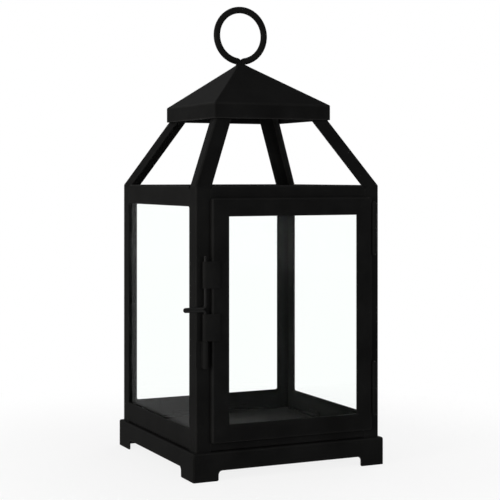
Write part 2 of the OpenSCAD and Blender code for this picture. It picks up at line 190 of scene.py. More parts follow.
def rounded(corners, radii, steps=4):
    """A closed outline with rounded corners. At corner c, with unit vectors a and b along its edges
    and an angle 2h between them, the centre is c + (a + b) / |a + b| * r / sin h, and the arc goes
    from edge a to edge b by turning one spoke evenly into the other."""
    c = np.asarray(corners, float)
    r = np.broadcast_to(np.asarray(radii, float), len(c))[:, None]
    a, b = np.roll(c, 1, 0) - c, np.roll(c, -1, 0) - c
    a /= np.linalg.norm(a, axis=1, keepdims=True)
    b /= np.linalg.norm(b, axis=1, keepdims=True)
    h = np.arccos(np.clip((a * b).sum(1, keepdims=True), -1, 1)) / 2
    centre = c + (a + b) / np.linalg.norm(a + b, axis=1, keepdims=True) * r / np.sin(h)
    start = (c + a * r / np.tan(h) - centre)[:, None]
    end = (c + b * r / np.tan(h) - centre)[:, None]
    turn = (np.pi - 2 * h)[:, None]
    t = np.linspace(0, 1, steps + 1)[None, :, None]
    arc = (np.sin((1 - t) * turn) * start + np.sin(t * turn) * end) / np.sin(turn)
    return (centre[:, None] + arc).reshape(-1, c.shape[1])


def corner_highlights(weights, steps=4):
    """Painted highlights for a rounded outline: each corner's weight at the middle of its arc, 0 at its
    ends, by the sine."""
    return np.outer(weights, np.sin(np.linspace(0, np.pi, steps + 1))).ravel()


def cut_edge(thickness, ease=CUT_EDGE, steps=3):
    """Round a cut edge from the inner face to the outer one: how far in from the outer face and
    how far back from the cut, along a quarter circle of radius ease at each face."""
    a = np.radians(np.linspace(0, 90, steps + 1))
    inner = thickness - ease * (1 - np.cos(a))
    outer = ease * (1 - np.cos(a))[::-1]
    back = ease * (1 - np.sin(a))
    return np.concatenate([inner, outer]), np.concatenate([back, back[::-1]])


def square_loop(half, corner, sides):
    """A loop round a square of that half width. Side k has its own (along, height) points, spread
    to fit the straight length, then an arc of radius corner; each side is turned 90 degrees on."""
    straight = half - corner
    angle = np.radians(np.arange(18, 90, 18))
    loop = []
    for k, side in enumerate(sides):
        along = side[:, 0] * straight / abs(side[0, 0])
        flat = np.stack([along, np.full(len(along), -half), side[:, 1]], -1)
        arc = np.stack([straight + corner * np.sin(angle), -straight - corner * np.cos(angle),
                        np.full(len(angle), side[-1, 1])], -1)
        loop.append(turned(np.vstack([flat, arc]), k))
    return np.concatenate(loop)


def turned(points, quarters):
    """Points turned anticlockwise, seen from above, by quarter turns about the lantern's middle."""
    c, s = ((1, 0), (0, 1), (-1, 0), (0, -1))[quarters % 4]
    return points @ np.array([[c, s, 0], [-s, c, 0], [0, 0, 1]])


def skin(rings, ring_painted_light=0.0, point_painted_light=0.0, closed=False):
    """Points, faces and painted highlights of the skin over rings[i, j]: quads join ring i to i + 1 and
    point j to j + 1, all the way round, and the end rings are filled unless the skin is closed."""
    rings = np.asarray(rings)
    count, around = rings.shape[:2]
    index = np.arange(count * around).reshape(count, around)
    rows = np.vstack([index, index[:1]]) if closed else index
    quads = np.stack([rows[:-1], np.roll(rows[:-1], -1, 1), np.roll(rows[1:], -1, 1), rows[1:]], -1)
    faces = quads.reshape(-1, 4).tolist()
    if not closed:
        faces += [index[0].tolist(), index[-1].tolist()]
    painted_light = np.maximum(np.broadcast_to(np.reshape(ring_painted_light, (-1, 1)), (count, around)),
                     np.broadcast_to(np.reshape(point_painted_light, (1, -1)), (count, around)))
    return rings.reshape(-1, 3), faces, painted_light.ravel()


def put_together(shapes):
    """Several shapes as one set of points, faces and painted highlights."""
    starts = np.cumsum([0] + [len(shape[0]) for shape in shapes])
    faces = [[i + first for i in face] for first, shape in zip(starts, shapes) for face in shape[1]]
    return (np.concatenate([shape[0] for shape in shapes]), faces,
            np.concatenate([shape[2] for shape in shapes]))


def make(name, shape, material, body="frame", stands_for=()):
    """Makes a piece from a shape in millimetres: faces outward, smooth where it bends gently,
    with its finish, its body, and the CAD nodes that it stands for."""
    points, faces, painted_light = shape
    mesh = bpy.data.meshes.new(name)
    mesh.from_pydata((points * 0.001).tolist(), [], faces)
    mesh.attributes.new("painted_light", "FLOAT", "POINT").data.foreach_set("value", painted_light.astype(np.float32))
    solid = bmesh.new()
    solid.from_mesh(mesh)
    bmesh.ops.recalc_face_normals(solid, faces=solid.faces)
    solid.to_mesh(mesh)
    solid.free()
    mesh.shade_smooth()
    mesh.set_sharp_from_angle(angle=np.radians(38))
    mesh.materials.append(material)
    piece = bpy.data.objects.new(name, mesh)
    bpy.context.scene.collection.objects.link(piece)
    piece.modifiers.new("flat faces stay flat", "WEIGHTED_NORMAL").keep_sharp = True
    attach(piece, body)
    if stands_for:
        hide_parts(*stands_for)


def arch_edge(half, arch, foot):
    """The lower edge of one folded-down side, corner to corner: (along, height) points round the
    toes and the arch's corners, with unit normals into the sheet. Two corners above close the
    outline; they and the two at its ends are left out again."""
    end, side, above, steps = half - FOLD_OUTSIDE, half - foot, arch + 3, 6
    corners = [(-end, above), (-end, 0), (-side, 0), (-side, arch), (side, arch), (side, 0),
               (end, 0), (end, above)]
    radii = [TOE_ROUND] * 3 + [ARCH_ROUND] * 2 + [TOE_ROUND] * 3
    arcs = rounded(corners, radii, steps)
    edge = np.vstack([(-end, 0), arcs[2 * (steps + 1):-2 * (steps + 1)], (end, 0)])
    run = np.gradient(edge, axis=0)
    run /= np.linalg.norm(run, axis=1, keepdims=True)
    return edge, np.stack([-run[:, 1], run[:, 0]], -1)


def base_shape():
    """Loops from under the deck, down inside the fold, round the cut edge and up to the deck. At a
    distance d in from the face a loop is a square of half width half - d and corner radius
    1.3 - d, so the corners of the folds are parts of a ball."""
    low, high = extent("base")
    half, top = high[0], high[2]
    edges = [arch_edge(half, arch, foot) for arch, foot in ARCHES]
    loops, painted_light = [], []

    # the last argument is the loop's painted highlight
    def loop(inset, sides, worn=0.0):
        loops.append(square_loop(half - inset, max(FOLD_OUTSIDE - inset, 0.05), sides * 2))
        painted_light.append(worn)

    def level(height):
        """Level points above the lower edge's, spread towards the corners the lower they come from."""
        sides = []
        for (edge, _), (arch, foot) in zip(edges, ARCHES):
            share = np.clip((half - FOLD_OUTSIDE - abs(edge[:, 0])) / (foot - FOLD_OUTSIDE), 0, 1)
            spread = ARCH_SPREAD * np.sign(edge[:, 0]) * (arch - edge[:, 1]) * share
            sides.append(np.stack([edge[:, 0] + spread, np.full(len(edge), height)], -1))
        return sides

    loop(DECK_EDGE, level(top - SHEET))
    for a in np.radians((0, 30, 60, 90)):
        loop(FOLD_OUTSIDE - FOLD_INSIDE * np.sin(a),
             level(top - FOLD_OUTSIDE + FOLD_INSIDE * np.cos(a)))
    loop(SHEET, level(top - FOLD_OUTSIDE - PLAIN_BAND))
    loop(SHEET, [edge + normal * HIGHLIGHT_REACH for edge, normal in edges])
    # the cut edge gets the full painted highlight
    for inset, back in zip(*cut_edge(SHEET)):
        loop(inset, [edge + normal * back for edge, normal in edges], 1.0)
    loop(0, [edge + normal * HIGHLIGHT_REACH for edge, normal in edges])
    loop(0, level(top - FOLD_OUTSIDE - PLAIN_BAND))
    # the fold gets a painted highlight, strongest at its middle
    for a in np.radians((0, 18, 36, 54, 72, 90)):
        loop(FOLD_OUTSIDE * (1 - np.cos(a)), level(top - FOLD_OUTSIDE * (1 - np.sin(a))),
             FOLD_HIGHLIGHT * np.sin(2 * a))
    # the deck painted lighter all over, as if lit
    loop(DECK_EDGE, level(top), DECK_PAINTED_LIGHT)
    return skin(loops, painted_light)


make("base_sheet", base_shape(), black_sheet, stands_for=["base"])

# ---------------------------------------------------------------------------------------------
# Corner angles
# Four L-shaped strips, each a post and a roof leg in one. They are notched and bent inward at the
# shoulder, and welded to the deck below and inside the cap above.
# ---------------------------------------------------------------------------------------------
FACE = 65.0        # distance of the frame's faces from the middle
LEG = 10.3
SHOULDER = 182.5
SHOULDER_BEND = 0.6
FOOT_DEEP = 0.05     # how far a foot stands into the deck's weld
TOP_CLEAR = 0.02     # how far a roof leg ends under the cap's slope
CAP_HALF, CAP_LOW, CAP_EAVES, CAP_TIP = 41.8, 225.5, 235.3, 265.3
TIP_OFF = -4.6
CAP_SLOPE = (CAP_TIP - CAP_EAVES) / CAP_HALF
CAP_INNER_HALF = CAP_HALF - SHEET
CAP_INNER_TIP = CAP_TIP - SHEET * np.hypot(1, CAP_SLOPE)
CAP_INNER_EAVES = CAP_INNER_TIP - CAP_SLOPE * CAP_INNER_HALF
LEAN = np.arctan((FACE - CAP_INNER_HALF) * np.sqrt(2) / (CAP_LOW - SHOULDER))
SHOULDER_FALL = np.tan(LEAN / 2) / np.sqrt(2)


def angle_section(across, upward, fold=FOLD_OUTSIDE, ease=CUT_EDGE):
    """Outline of a folded strip, one leg along each axis with the fold's outside at the origin,
    and its painted highlights."""
    corners = [(0, 0), (across, 0), (across, SHEET), (SHEET, SHEET), (SHEET, upward), (0, upward)]
    radii = [fold, ease, ease, fold - SHEET, ease, ease]
    return rounded(corners, radii), corner_highlights([0.5, 1, 1, 0, 1, 1])


def corner_angle_shape(quarter):
    """The section (u, v) stands on the deck, meets the shoulder at the height
    shoulder - (u + v) tan(lean / 2) / sqrt 2, turns there on a short parabola and runs on along
    (sin lean / sqrt 2, sin lean / sqrt 2, cos lean) to the nearest slope of the cap."""
    outline, painted_light = angle_section(LEG, LEG)
    deck = extent("base")[1][2]
    ground = np.column_stack([outline - FACE, np.full(len(outline), deck - FOOT_DEEP)])
    knee = ground.copy()
    knee[:, 2] = SHOULDER - outline.sum(1) * SHOULDER_FALL
    run = np.array([np.sin(LEAN), np.sin(LEAN), np.cos(LEAN) * np.sqrt(2)]) / np.sqrt(2)
    knee, ground, run = (turned(points, quarter) for points in (knee, ground, run))
    below, above = knee - (0, 0, SHOULDER_BEND), knee + SHOULDER_BEND * run
    rings = [ground]
    for t in np.linspace(0, 1, 6):
        rings.append((1 - t) ** 2 * below + 2 * t * (1 - t) * knee + t ** 2 * above)
    inward = np.array([(0, 1, 0), (0, -1, 0), (1, 0, 0), (-1, 0, 0)])
    base_run = CAP_INNER_HALF + np.array([0, 0, TIP_OFF, -TIP_OFF])
    rise = (CAP_INNER_TIP - CAP_INNER_EAVES) / base_run
    height = CAP_INNER_EAVES + rise * (CAP_INNER_HALF + knee @ inward.T)
    reach = ((height - knee[:, 2:]) / (run[2] - rise * (inward @ run))).min(1)
    rings.append(knee + (reach[:, None] - TOP_CLEAR) * run)
    return skin(rings, 0, painted_light)


for quarter, corner in enumerate(("front_left", "front_right", "back_right", "back_left")):
    make("corner_post_" + corner, corner_angle_shape(quarter), black_sheet,
         stands_for=["corner_angle_" + corner])

# ---------------------------------------------------------------------------------------------
# Rails
# Eight folded strips between the corner angles, with a flange inward that carries or closes the
# glass, welded at small fillets. Each fills its CAD node's box, which includes the solid's fillets.
# ---------------------------------------------------------------------------------------------
RAIL_HALF = FACE - LEG
FLANGE = 6.0
WELD = 1.2
CORNER_CUT = (LEG + SHEET) * SHOULDER_FALL           # where the leaning roof legs cut the top
CORNER_RUN = CORNER_CUT * np.tan(LEAN) / np.sqrt(2)  # rails' corners: down, and along


def drawn_in(outline, depth):
    """An anticlockwise outline moved in by depth: each point goes by depth * m / |m|^2, where m is
    the mean of its two edges' inward unit normals."""
    edge = np.roll(outline, -1, 0) - outline
    edge /= np.linalg.norm(edge, axis=1, keepdims=True)
    normal = np.stack([-edge[:, 1], edge[:, 0]], -1)
    mean = (normal + np.roll(normal, 1, 0)) / 2
    return outline + depth * mean / (mean ** 2).sum(1, keepdims=True)


def eased_bar(outline, start, end, ease=0.12, painted_light=0.0):
    """A bar of one section along the third axis, from start to end, which may differ from point to
    point. Each end is rounded: for a from 0 to 90 degrees the section is drawn in by
    ease (1 - sin a) at ease (1 - cos a) from the end."""
    near, far = [], []
    for a in np.radians((0, 30, 60, 90)):
        section = drawn_in(outline, ease * (1 - np.sin(a)))
        step = ease * (1 - np.cos(a))
        near.append(np.column_stack([section, np.broadcast_to(start + step, len(outline))]))
        far.append(np.column_stack([section, np.broadcast_to(end - step, len(outline))]))
    # the rounded ends get the painted highlight
    return skin(near + far[::-1], (0, 1, 1, 0, 0, 1, 1, 0), painted_light)


def weld_fillet(flip, height):
    """The weld in a corner of the opening: a root 0.3 deep and a hollow quarter circle, as thick
    as the sheet."""
    a = np.radians(np.linspace(270, 180, 7))
    hollow = WELD * (1 + np.stack([np.cos(a), np.sin(a)], -1))
    outline = np.vstack([(-0.3, -0.3), (WELD, -0.3), hollow, (-0.3, WELD)])
    points, faces, painted_light = eased_bar(outline, 0.03, SHEET - 0.03, 0.02)
    across, up, depth = points.T
    return np.stack([RAIL_HALF - across, depth - FACE, height + flip * up], -1), faces, painted_light


def rail_shape(low, high, flange_at_top):
    """The section (depth in, height) along the side, its welded ends, and at the top of the
    lantern its corners cut back where the roof legs lean in."""
    section, painted_light = angle_section(FLANGE, high - low)
    end = np.full(len(section), RAIL_HALF)
    if flange_at_top:
        corners = [(0, low), (SHEET, low), (SHEET, high - SHEET), (FLANGE, high - SHEET),
                   (FLANGE, high), (0, high)]
        radii = [CUT_EDGE, CUT_EDGE, FOLD_INSIDE, CUT_EDGE, CUT_EDGE, FOLD_OUTSIDE]
        section, painted_light = rounded(corners, radii), corner_highlights([1, 1, 0, 1, 1, 0.5])
        cut = high - CORNER_CUT
        section = np.insert(section, [10, 30], [(SHEET, cut), (0, cut)], 0)
        painted_light = np.insert(painted_light, [10, 30], 0)
        past = np.clip((section[:, 1] - cut) / CORNER_CUT, 0, 1)
        end = np.where(section[:, 0] > SHEET + 0.01, RAIL_HALF - CORNER_RUN - 0.5,
                       RAIL_HALF - CORNER_RUN * past)
    else:
        section = section + (0, low)
    points, faces, painted_light = eased_bar(section, -end, end, painted_light=painted_light)
    depth, height, along = points.T
    bar = np.stack([along, depth - FACE, height], -1), faces, painted_light
    edge, flip = (low, -1) if flange_at_top else (high, 1)
    right = weld_fillet(flip, edge)
    left = right[0] * (-1, 1, 1), right[1], right[2]
    return put_together([bar, right, left])


for quarter, side in enumerate(("front", "right", "back", "left")):
    for place, at_top in (("bottom", False), ("top", True)):
        node = f"{place}_rail_{side}"
        low, high = extent(node)[0][2], extent(node)[1][2]
        points, faces, painted_light = rail_shape(low, high, at_top)
        make(f"{place}_strip_{side}", (turned(points, quarter), faces, painted_light), black_sheet,
             stands_for=[node])

# ---------------------------------------------------------------------------------------------
# Roof cap
# A pyramid of sheet over an upright skirt, with welded and ground hips and a hole at its tip for
# the ring's shank. The tip of this hand-made one sits a little to the left.
# ---------------------------------------------------------------------------------------------
HIP_ROUND = 0.8
EAVE_ROUND = 1.0
EAVE_HIGHLIGHT_REACH = 1.2
SHANK_HOLE = 3.2


def cap_shape():
    """Square loops down the outer slopes, round the eaves, down the skirt, round its cut edge and
    up inside again. A loop of half width h at the height z on a slope has its centre moved by
    tip offset * (z - eaves) / (tip - eaves). The first and last loops are the hole: points
    round the tip, each at the height of the lowest slope there."""
    across = np.linspace(-1, 1, 9)

    def loop(half, height, corner, eaves, tip):
        side = np.stack([across, np.full(len(across), height)], -1)
        points = square_loop(half, corner, [side] * 4)
        points[:, 0] += TIP_OFF * np.clip((height - eaves) / (tip - eaves), 0, 1)
        return points

    def hole(half, eaves, tip):
        square = square_loop(1, 0.1, [np.stack([across, across * 0], -1)] * 4)
        spoke = square[:, :2] / np.linalg.norm(square[:, :2], axis=1, keepdims=True) * SHANK_HOLE
        x, y = spoke.T
        fall = (tip - eaves) * np.stack([abs(y) / half, -x / (half + TIP_OFF),
                                         x / (half - TIP_OFF)]).max(0)
        return np.column_stack([x + TIP_OFF, y, tip - fall])

    # a painted highlight round the hole
    loops, painted_light = [hole(CAP_HALF, CAP_EAVES, CAP_TIP)], [0.6]
    for half in (5.5, 12, 20, 30, 38, CAP_HALF - EAVE_HIGHLIGHT_REACH):
        loops.append(loop(half, CAP_TIP - CAP_SLOPE * half, HIP_ROUND, CAP_EAVES, CAP_TIP))
        painted_light.append(0)
    eave = rounded([(38, CAP_TIP - CAP_SLOPE * 38), (CAP_HALF, CAP_EAVES), (CAP_HALF, CAP_LOW)],
                   EAVE_ROUND)
    # a thin painted highlight line along the eave
    for half, height in eave[5:10]:
        loops.append(loop(half, height, HIP_ROUND, CAP_EAVES, CAP_TIP))
        painted_light.append(0.4)
    for height in (CAP_EAVES - EAVE_HIGHLIGHT_REACH, CAP_LOW + HIGHLIGHT_REACH):
        loops.append(loop(CAP_HALF, height, HIP_ROUND, CAP_EAVES, CAP_TIP))
        painted_light.append(0)
    inset, back = cut_edge(SHEET)
    # the skirt's cut edge gets the full painted highlight
    for d, up in zip(inset[::-1], back[::-1]):
        loops.append(loop(CAP_HALF - d, CAP_LOW + up, max(HIP_ROUND - d, 0.1), CAP_EAVES, CAP_TIP))
        painted_light.append(1)
    for height in (CAP_LOW + HIGHLIGHT_REACH, CAP_INNER_EAVES):
        loops.append(loop(CAP_INNER_HALF, height, 0.1, CAP_EAVES, CAP_TIP))
        painted_light.append(0)
    for half in (30, 18, 5.5):
        loops.append(loop(half, CAP_INNER_TIP - CAP_SLOPE * half, 0.1, CAP_INNER_EAVES,
                          CAP_INNER_TIP))
        painted_light.append(0)
    loops.append(hole(CAP_INNER_HALF, CAP_INNER_EAVES, CAP_INNER_TIP))
    painted_light.append(0)
    return skin(loops, painted_light, closed=True)


make("cap_sheet", cap_shape(), black_sheet, stands_for=["roof_cap"])

# ---------------------------------------------------------------------------------------------
# Hanging ring
# One round wire bent into an eye. Its two ends turn down side by side into the tip of the cap,
# which leaves a small notch inside the eye, and a bead of weld closes the hole round them.
# ---------------------------------------------------------------------------------------------
RING_WIRE = 2.25
RING_RADIUS = 17.45
RING_MIDDLE = 283.30
END_BEND = 2.3
END_SPREAD = 0.95

# the second colour is the lighter paint of the painted highlights
black_wire = coated("black powder coat on wire", (0.0062, 0.0060, 0.0057),
                    (0.020, 0.0195, 0.0186), 0.34, 1100, 0.00002, 0.012)


def wire_shape(path, radius, y, ease=0.35, around=20):
    """A round wire along a path of (x, z) points in the upright plane at y. Its circle stands
    square to the mean of the two edges at each point, and its cut ends are rounded as a bar's."""
    path = np.asarray(path, float)
    edge = np.diff(path, axis=0)
    edge /= np.linalg.norm(edge, axis=1, keepdims=True)
    run = np.vstack([edge[:1], edge[:-1] + edge[1:], edge[-1:]])
    run /= np.linalg.norm(run, axis=1, keepdims=True)
    a = np.radians((0, 30, 60, 90))
    step, thin = ease * (1 - np.cos(a))[:, None], ease * (1 - np.sin(a))
    middle = np.vstack([path[0] + run[0] * step, path[1:-1], (path[-1] - run[-1] * step)[::-1]])
    run = np.vstack([np.repeat(run[:1], 4, 0), run[1:-1], np.repeat(run[-1:], 4, 0)])
    size = np.concatenate([radius - thin, np.full(len(path) - 2, radius), radius - thin[::-1]])
    turn = np.linspace(0, 2 * np.pi, around, endpoint=False)
    out = size[:, None] * np.cos(turn)
    rings = np.stack([middle[:, :1] - run[:, 1:] * out, y + size[:, None] * np.sin(turn),
                      middle[:, 1:] + run[:, :1] * out], -1)
    # the rounded ends get the painted highlight
    worn = np.zeros(len(size))
    worn[[1, 2, -3, -2]] = 1
    return skin(rings, worn)


def ring_path():
    """Up one shank, round a bend that touches the eye's circle from outside, round
    the eye, and down the other side the same way."""
    reach = RING_RADIUS + END_BEND
    side = END_SPREAD + END_BEND
    drop = np.sqrt(reach ** 2 - side ** 2)
    touch = np.arctan2(drop, side)
    a = np.linspace(0, touch, 8)
    bend = np.stack([END_BEND * np.cos(a) - side, END_BEND * np.sin(a) - drop], -1)
    foot = extent("hanging_ring")[0][2] - RING_MIDDLE
    shank = np.array([(-END_SPREAD, foot), (-END_SPREAD, -drop - 2)])
    b = np.linspace(np.pi + touch, -touch, 90)[1:-1]
    eye = RING_RADIUS * np.stack([np.cos(b), np.sin(b)], -1)
    half = np.vstack([shank, bend])
    return np.vstack([half, eye, (half * (-1, 1))[::-1]]) + (TIP_OFF, RING_MIDDLE)


def weld_collar():
    """The bead round the shank: a profile (radius, height) carried round the tip, its radius
    rippled by three and seven waves."""
    profile = rounded([(1.6, 261.1), (3.5, 261.3), (3.9, 262.0), (3.2, 263.4), (2.2, 264.0)],
                      [0.2, 0.2, 0.3, 0.5, 0.2], 2)
    turn = np.linspace(0, 2 * np.pi, 40, endpoint=False)
    ripple = 1 + 0.03 * np.sin(3 * turn) + 0.025 * np.sin(7 * turn + 1)
    radius = profile[None, :, 0] * ripple[:, None]
    rings = np.stack([TIP_OFF + radius * np.cos(turn)[:, None], radius * np.sin(turn)[:, None],
                      np.broadcast_to(profile[:, 1], radius.shape)], -1)
    return skin(rings, closed=True)


make("ring_wire", put_together([wire_shape(ring_path(), RING_WIRE, 0), weld_collar()]), black_wire,
     stands_for=["hanging_ring"])

# ---------------------------------------------------------------------------------------------
# Fixed panes and their clips
# Three panes of clear 2 mm glass stand on the bottom rails' flanges. Bent tabs of sheet, welded
# to the flanges, hold each pane out against the frame.
# ---------------------------------------------------------------------------------------------
CLIP_SHEET = 0.8
CLIP_HALF = 8.0
CLIP_FROM_MIDDLE = 20.0
CLIP_FOOT = 2.7
CLIP_FACE = 61.7                # distance of the clips' tongues from the middle
CLIP_TALL = {"low": 3.2, "high": 5.04}
GLASS_CLEAR = 0.03

clear_glass = bpy.data.materials.new("clear glass")
clear_glass.use_nodes = True
nodes, links = clear_glass.node_tree.nodes, clear_glass.node_tree.links
body_glass = nodes["Principled BSDF"]
body_glass.inputs["Transmission Weight"].default_value = 1
body_glass.inputs["IOR"].default_value = 1.065
body_glass.inputs["Roughness"].default_value = 0
place = nodes.new("ShaderNodeTexCoord")
waves = nodes.new("ShaderNodeTexNoise")
waves.inputs["Scale"].default_value = 30
waves.inputs["Detail"].default_value = 1
links.new(place.outputs["Object"], waves.inputs["Vector"])
ripple = nodes.new("ShaderNodeBump")
ripple.inputs["Distance"].default_value = 0.00002
links.new(waves.outputs["Fac"], ripple.inputs["Height"])
links.new(ripple.outputs["Normal"], body_glass.inputs["Normal"])
tint = nodes.new("ShaderNodeMix")
tint.data_type = "RGBA"
tint.inputs[6].default_value = (0.99, 1.0, 0.995, 1)
tint.inputs[7].default_value = (0.98, 1.0, 0.99, 1)
links.new(waves.outputs["Fac"], tint.inputs["Factor"])
links.new(tint.outputs[2], body_glass.inputs["Base Color"])
lets_light = nodes.new("ShaderNodeBsdfTransparent")
lets_light.inputs["Color"].default_value = (0.87, 0.9, 0.88, 1)
path_kind = nodes.new("ShaderNodeLightPath")
either = nodes.new("ShaderNodeMixShader")
links.new(path_kind.outputs["Is Shadow Ray"], either.inputs["Fac"])
links.new(body_glass.outputs["BSDF"], either.inputs[1])
links.new(lets_light.outputs["BSDF"], either.inputs[2])
links.new(either.outputs["Shader"], nodes["Material Output"].inputs["Surface"])


def pane_shape(node, ease=0.3):
    """A slab the size of its CAD node, a little clear of what it touches, with eased edges."""
    low, high = extent(node)
    low, high = low + GLASS_CLEAR, high - GLASS_CLEAR
    thin = int(np.argmin(high - low))
    across = [axis for axis in range(3) if axis != thin]
    (a0, b0), (a1, b1) = low[across], high[across]
    bar, faces, painted_light = eased_bar(rounded([(a0, b0), (a1, b0), (a1, b1), (a0, b1)], 0.5),
                                low[thin], high[thin], ease)
    points = np.empty_like(bar)
    points[:, across + [thin]] = bar
    return points, faces, painted_light


def clip_shape(middle, foot_z, tip_z):
    """A tab with its foot on the flange at foot_z and its tongue along the glass to tip_z, where
    it opens away from the glass a little; section (depth behind the glass, height)."""
    up = np.sign(tip_z - foot_z)
    tall = abs(tip_z - foot_z)
    section = rounded([(0, 0), (CLIP_FOOT, 0), (CLIP_FOOT, CLIP_SHEET), (CLIP_SHEET, CLIP_SHEET),
                       (CLIP_SHEET, tall - 0.9), (1.05, tall), (0.3, tall), (0, tall - 0.9)],
                      [0.7, 0.2, 0.2, 0.15, 0.3, 0.2, 0.2, 0.3], 3)
    painted_light = corner_highlights([0.4, 1, 1, 0, 0, 1, 1, 0], 3)
    points, faces, painted_light = eased_bar(section, middle - CLIP_HALF, middle + CLIP_HALF, 0.15, painted_light)
    depth, height, along = points.T
    return np.stack([along, depth - CLIP_FACE, foot_z + up * height], -1), faces, painted_light


for quarter, side in ((1, "right"), (2, "back"), (3, "left")):
    make("glass_" + side, pane_shape("pane_" + side), clear_glass, stands_for=["pane_" + side])
    low, high = extent("pane_clips_" + side)
    feet_and_tips = ((low[2], low[2] + CLIP_TALL["low"]), (high[2], high[2] - CLIP_TALL["high"]))
    tabs = put_together([clip_shape(middle, foot, tip)
                         for middle in (-CLIP_FROM_MIDDLE, CLIP_FROM_MIDDLE)
                         for foot, tip in feet_and_tips])
    make("glass_tabs_" + side, (turned(tabs[0], quarter), *tabs[1:]), black_sheet,
         stands_for=["pane_clips_" + side])

# ---------------------------------------------------------------------------------------------
# Door
# Two stiles and two rails folded from sheet, mitred at the corners, welded and ground. The pane
# lies against their backs under four bent tabs. Its height is the box of the latch stile's node.
# ---------------------------------------------------------------------------------------------
STRIP = 11.4
DOOR_DEPTH = 3.2
DOOR_CORNER = 1.5
door_left, door_front, door_low = extent("door_stile_latch")[0]
door_right = extent("door_stile_hinge")[1][0]
door_high = extent("door_stile_latch")[1][2]


def mitred_strip(length):
    """A strip on its outer edge, section (in from the edge, depth), along its length. Further in
    than the door's corner radius the end is the mitre, as far along as it is in; nearer than that it turns
    round the door's rounded corner, from 45 degrees down to the straight."""
    section, painted_light = angle_section(STRIP, DOOR_DEPTH)
    inward, depth = section.T
    spare = DOOR_CORNER - inward
    rings = []
    for a in np.radians((45, 33, 22, 11, 0)):
        turning = inward < DOOR_CORNER
        x = np.where(turning, DOOR_CORNER - spare * np.cos(a), inward)
        z = np.where(turning, DOOR_CORNER - spare * np.sin(a), inward + 1.2 * (1 - a / np.radians(45)))
        rings.append(np.stack([x, depth, z], -1))
    far = [ring * (1, 1, -1) + (0, 0, length) for ring in rings[::-1]]
    return skin(rings + far, 0, painted_light)


across, tall = door_right - door_left, door_high - door_low
for name, length, place in (
    ("stile_latch", tall, lambda x, y, z: (door_left + x, door_front + y, door_low + z)),
    ("stile_hinge", tall, lambda x, y, z: (door_right - x, door_front + y, door_low + z)),
    ("rail_top", across, lambda x, y, z: (door_left + z, door_front + y, door_high - x)),
    ("rail_bottom", across, lambda x, y, z: (door_left + z, door_front + y, door_low + x)),
):
    points, faces, painted_light = mitred_strip(length)
    make("door_strip_" + name, (np.stack(place(*points.T), -1), faces, painted_light), black_sheet,
         body="door", stands_for=["door_" + name])

make("door_glass", pane_shape("door_pane"), clear_glass, body="door", stands_for=["door_pane"])


def strip_outline(path, thickness, ease=0.15):
    """Outline of a strip bent along an open path: the path moved by half the thickness to each side
    along m / |m|^2, the mean m of its two edges' normals, with corners of radius ease at its
    ends."""
    path = np.asarray(path, float)
    edge = np.diff(path, axis=0)
    edge /= np.linalg.norm(edge, axis=1, keepdims=True)
    left = np.stack([-edge[:, 1], edge[:, 0]], -1)
    mean = (left[:-1] + left[1:]) / 2
    aside = thickness / 2 * mean / (mean ** 2).sum(1, keepdims=True)
    a = np.radians((0, 45, 90))[:, None]
    along, out = ease * (np.sin(a) - 1), thickness / 2 - ease * (1 - np.cos(a))

    def end(point, run, side):
        first = point + along * run - out * side
        second = point + along * run + out * side
        return np.vstack([first, second[::-1]])

    return np.vstack([path[1:-1] - aside, end(path[-1], edge[-1], left[-1]),
                      (path[1:-1] + aside)[::-1], end(path[0], -edge[0], -left[0])])


def bent(corners, radii, steps=4):
    """An open path with rounded corners, from its first point to its last: an outline closed by
    way of a far point to one side, less the arcs at that point and at the path's two ends."""
    outline = rounded([*corners, np.mean(corners, 0) + (900, 700)], [*radii, 1], steps)
    return np.vstack([corners[0], outline[steps + 1:-2 * (steps + 1)], corners[-1]])


def door_tab(z, mirrored):
    """A tab behind the door's glass: foot on the back of the stile, a rise beside the glass and a
    tongue over its edge; section (in from the door's edge, depth)."""
    path = bent([(3.9, 1.4), (6.5, 1.4), (6.5, 3.4), (9.3, 3.4)], [1, 0.55, 0.55, 1])
    points, faces, painted_light = eased_bar(strip_outline(path, CLIP_SHEET), z - 4, z + 4, 0.15)
    inward, depth, height = points.T
    x = door_right - inward if mirrored else door_left + inward
    return np.stack([x, door_front + depth, height], -1), faces, painted_light


make("door_glass_tabs", put_together([door_tab(door_low + share * tall, mirrored)
                                      for share in (0.25, 0.75) for mirrored in (False, True)]),
     black_sheet, body="door", stands_for=["door_clips"])

# ---------------------------------------------------------------------------------------------
# Hinges
# Each is two strips rolled round a wire pin: one welded along the door's edge, one stepped back
# and welded on the right front corner angle. The pin is pressed into the lower roll.
# ---------------------------------------------------------------------------------------------
ROLL_SHEET = 0.8
ROLL_TALL = 16.5
ROLL_SPAN = 1.8      # a roll lies within this of its middle
PIN = 0.8
PIN_HOLE = 0.88
HINGE_OUTSIDE, HINGE_REACH = 1.68, 3.5
HINGE_FLAP = [(2.22, -1.6), (1.5, -1.6), (0.7, -1.3)]


def door_roll(hole, flap, low, x, y, on_edge=False, roll_highlight=0.0):
    """A strip that comes in along its flap, a path from its far end, and goes clockwise round (x, y)
    from the front for 278 degrees. On the door's edge it is the same with across and deep swapped."""
    radius = hole + ROLL_SHEET / 2
    a = np.radians(np.linspace(-90, -368, 26))
    roll = radius * np.stack([np.cos(a), np.sin(a)], -1)
    section = strip_outline(np.vstack([*flap, roll]), ROLL_SHEET)
    points, faces, painted_light = placed_roll(section, low, 0, 0, 1, roll_highlight)
    return points[:, [1, 0, 2] if on_edge else [0, 1, 2]] + (x, y, 0), faces, painted_light


